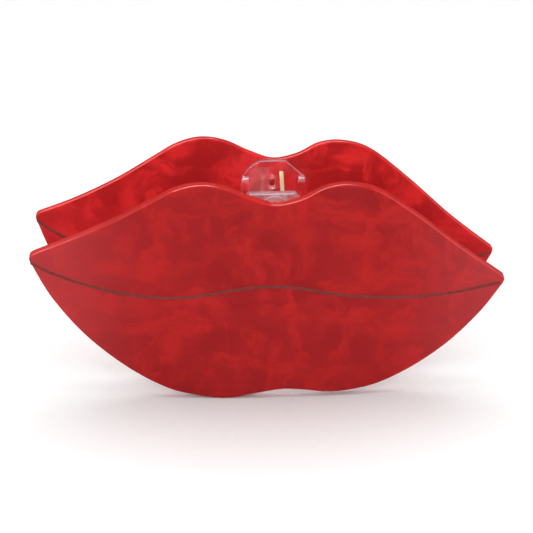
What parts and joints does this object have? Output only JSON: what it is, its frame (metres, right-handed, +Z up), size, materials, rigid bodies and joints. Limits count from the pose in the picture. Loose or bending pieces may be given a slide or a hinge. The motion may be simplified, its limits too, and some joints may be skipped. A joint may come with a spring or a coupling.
{
  "type": "hair claw clip",
  "caption": "Spring hair claw whose two marbled acetate plates are cut as a pair of lips, joined by a clear toothed claw with a pin hinge and a torsion spring.",
  "frame": {"origin": "middle of the part's bounding box, on the surface it stands on", "axes": "+X along the lips' length to the right as seen from the front plate, +Z up, -Y out of the front plate"},
  "size_m": [0.1052, 0.028, 0.0567],
  "materials": {
    "acetate": "polished red acetate with a pearl marble, slightly translucent",
    "enamel": "dark enamel line",
    "clear_plastic": "clear moulded polycarbonate",
    "glue": "clear adhesive with a slight haze",
    "gold_wire": "pale gold plated spring wire",
    "steel": "plain steel"
  },
  "bodies": {
    "front_half": {"front_plate": "acetate", "front_plate_outer_line": "enamel", "front_plate_inner_line": "enamel", "front_claw": "clear_plastic", "front_glue": "glue", "hinge_pin": "steel", "torsion_spring": "gold_wire"},
    "rear_half": {"rear_plate": "acetate", "rear_plate_outer_line": "enamel", "rear_plate_inner_line": "enamel", "rear_claw": "clear_plastic", "rear_glue": "glue"}
  },
  "joints": [
    {"name": "claw_hinge", "type": "hinge", "parent": "front_half", "child": "rear_half", "pos_m": [0.00173, -0.00006, 0.032], "axis": [1, 0, 0], "range_deg": [0, 40], "stiffness_Nm_per_rad": 0.115, "springref_deg": -40.11, "deforming": ["torsion_spring"]}
  ]
}
